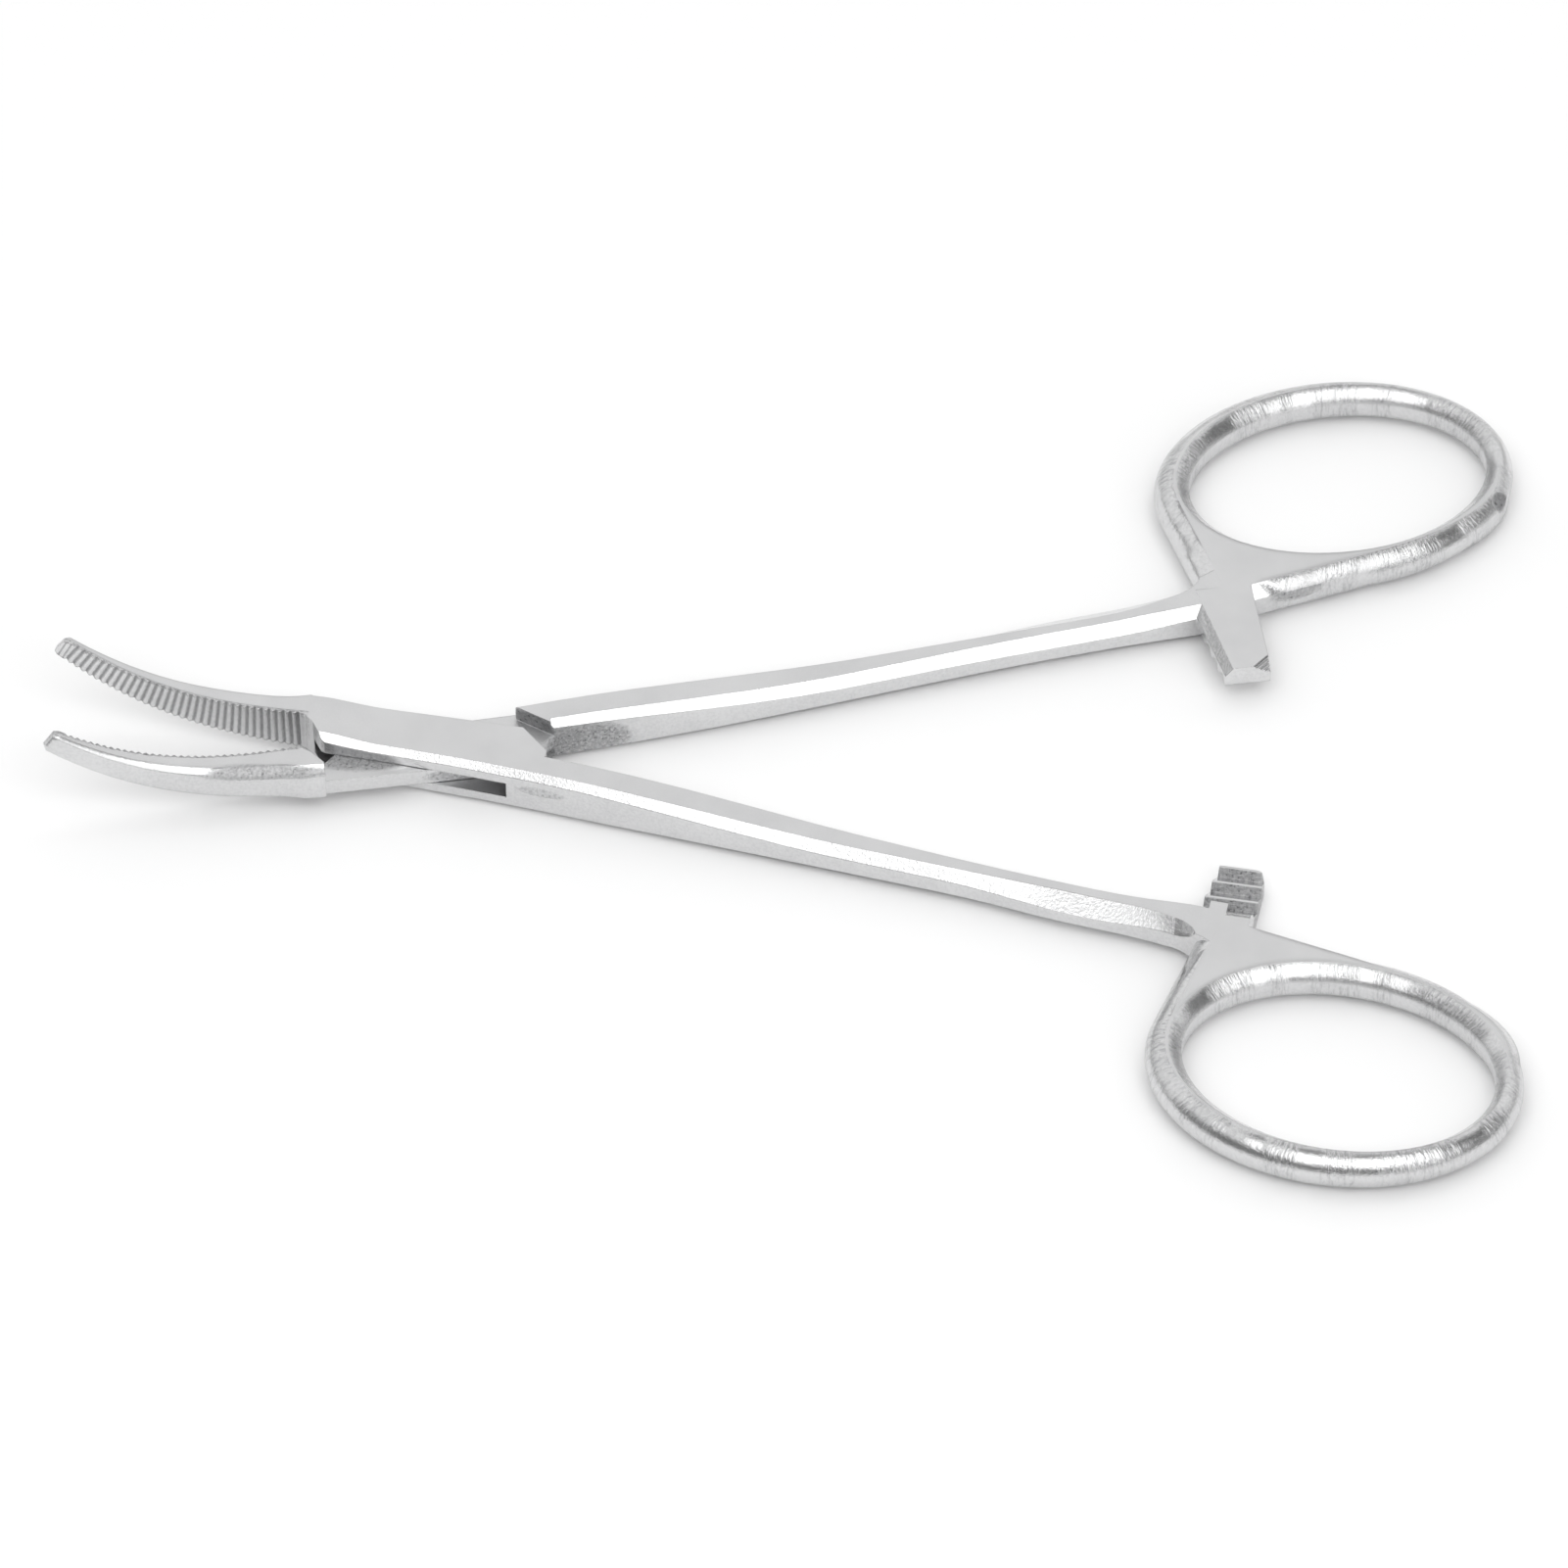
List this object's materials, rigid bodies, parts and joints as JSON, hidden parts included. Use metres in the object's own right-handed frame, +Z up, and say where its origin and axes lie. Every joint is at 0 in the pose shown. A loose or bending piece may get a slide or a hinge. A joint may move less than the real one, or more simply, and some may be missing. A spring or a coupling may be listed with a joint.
{
  "type": "hemostat forceps",
  "caption": "Curved hemostat forceps with a box lock, serrated jaws, interlocking ratchet bars and oval finger rings, lying flat and partly open.",
  "frame": {"origin": "hinge axis of the box lock at the underside of the lock", "axes": "+X from the hinge towards the finger rings along the line between the two halves, +Z up along the hinge axis, +Y to the half with the tongue's ring"},
  "size_m": [0.1182, 0.0928, 0.0092],
  "materials": {
    "steel": "satin",
    "pin": "satin"
  },
  "bodies": {
    "box_body": {"box_half": "steel", "hinge_pin": "pin"},
    "tongue_body": {"tongue_half": "steel"}
  },
  "joints": [
    {"name": "lock_hinge", "type": "hinge", "parent": "box_body", "child": "tongue_body", "pos_m": [0, 0, 0.0021], "axis": [0, 0, 1], "range_deg": [-19.5, 22]}
  ]
}
